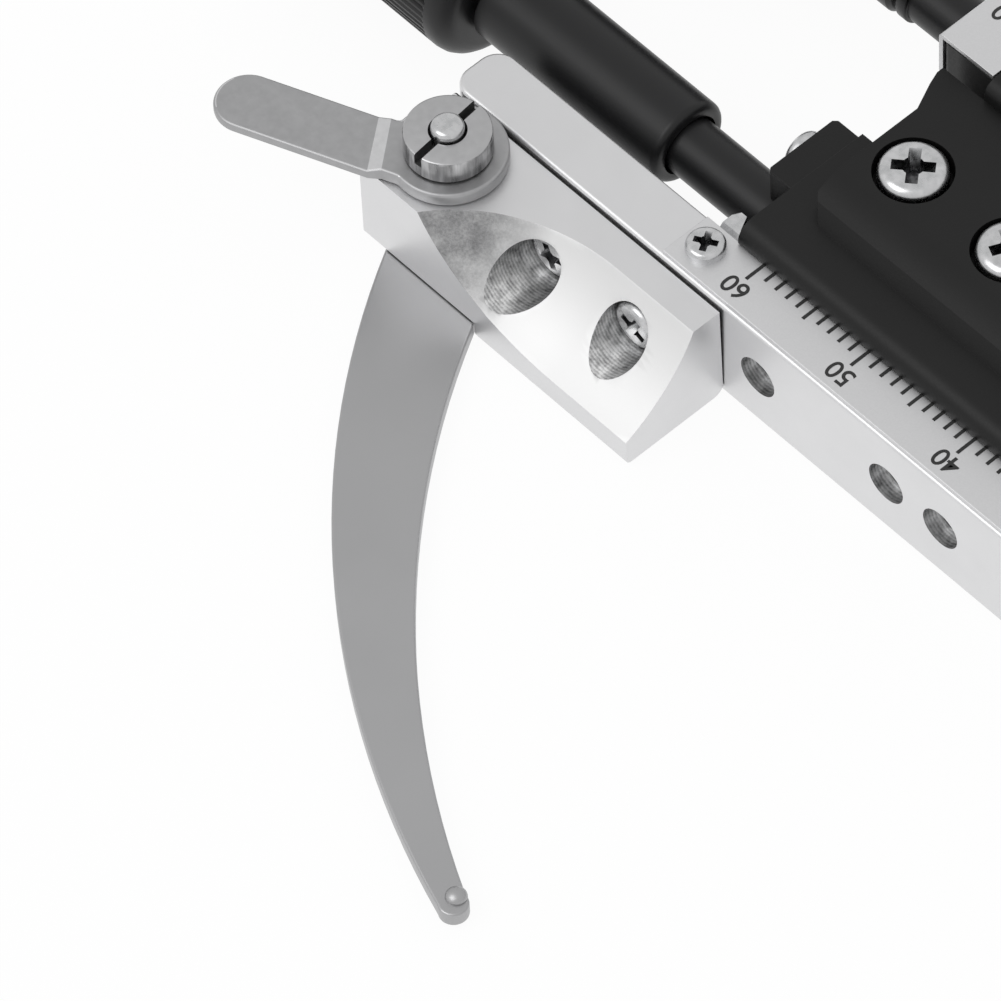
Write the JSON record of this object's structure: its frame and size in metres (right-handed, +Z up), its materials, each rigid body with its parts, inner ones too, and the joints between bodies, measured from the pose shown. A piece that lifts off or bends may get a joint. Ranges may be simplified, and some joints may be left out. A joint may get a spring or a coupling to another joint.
{
  "type": "microscope mechanical stage",
  "caption": "Bolt-on microscope stage drive that holds a glass slide between jaws and moves it along X and Y by knobs, racks and verniers.",
  "frame": {"origin": "centre of the two mounting bolt holes, in the flat underside that lies on the microscope's stage", "axes": "+X along the bar towards the knobs, +Y from the base towards the slide, +Z up"},
  "size_m": [0.145, 0.1129, 0.0163],
  "materials": {
    "black_casting": "satin black anodised",
    "black_steel": "black oxide",
    "black_knob": "satin black",
    "milled_aluminium": "milled satin",
    "scale_aluminium": "matt satin",
    "spring_steel": "brushed",
    "bush_brass": "turned",
    "bright_steel": "bright nickel"
  },
  "bodies": {
    "base": {"base_housing": "black_casting", "y_bearing_tube": "black_steel", "y_end_bush": "bush_brass", "y_stop_pin": "black_steel", "y_gib_strip": "bush_brass", "y_gib_screws": "black_steel", "y_scale_plate": "scale_aluminium", "y_scale_screws": "bright_steel"},
    "carriage": {"x_carriage": "black_casting", "cover_screws": "bright_steel", "cross_slide": "black_casting", "y_rack": "bright_steel", "y_rack_screws": "bright_steel", "x_vernier_plate": "scale_aluminium", "x_vernier_screws": "bright_steel", "y_vernier_plate": "scale_aluminium", "y_vernier_screws": "bright_steel", "tube_keeper": "black_casting", "keeper_screw": "bright_steel", "x_bearing_tube": "black_steel", "x_end_bush": "bush_brass"},
    "bar": {"x_bar": "milled_aluminium", "x_stop_pins": "black_steel", "x_rack_rail": "bright_steel", "x_rail_screws": "bright_steel", "x_scale_plate": "scale_aluminium", "x_scale_screws": "bright_steel", "jaw_block": "milled_aluminium", "jaw_block_screws": "bright_steel", "torsion_spring": "spring_steel", "fixed_jaw_block": "milled_aluminium", "fixed_jaw_screws": "bright_steel", "fixed_finger": "spring_steel", "fixed_finger_pins": "bright_steel"},
    "finger": {"finger": "spring_steel", "pivot_stud": "bright_steel", "finger_lever": "spring_steel", "cap_nut": "bright_steel"},
    "x_drive": {"x_knob": "black_knob", "x_knob_screw": "bright_steel", "x_sleeve": "black_steel", "x_shaft": "bright_steel", "x_pinion": "bright_steel"},
    "y_drive": {"y_knob": "black_knob", "y_knob_screw": "bright_steel", "y_sleeve": "black_steel", "y_shaft": "bright_steel", "y_pinion": "bright_steel"}
  },
  "joints": [
    {"name": "y_slide", "type": "slide", "parent": "base", "child": "carriage", "axis": [0, 1, 0], "range_m": [-0.0006, 0.03]},
    {"name": "x_slide", "type": "slide", "parent": "carriage", "child": "bar", "axis": [1, 0, 0], "range_m": [-0.048, 0.0025]},
    {"name": "x_knob_turn", "type": "hinge", "parent": "carriage", "child": "x_drive", "pos_m": [0, 0.0346, 0.0065], "axis": [1, 0, 0], "range_deg": [-50, 870]},
    {"name": "y_knob_turn", "type": "hinge", "parent": "base", "child": "y_drive", "pos_m": [0, 0.014, 0.0065], "axis": [1, 0, 0], "range_deg": [-580, 15]},
    {"name": "finger_hinge", "type": "hinge", "parent": "bar", "child": "finger", "pos_m": [0.0357, 0.0483, 0], "axis": [0, 0, -1], "range_deg": [0, 24], "stiffness_Nm_per_rad": 0.02, "springref_deg": -57.3}
  ],
  "couplings": [
    {"joint": "x_knob_turn", "follows": "x_slide", "rad_per_m": -314.27},
    {"joint": "y_knob_turn", "follows": "y_slide", "rad_per_m": -333.33}
  ]
}
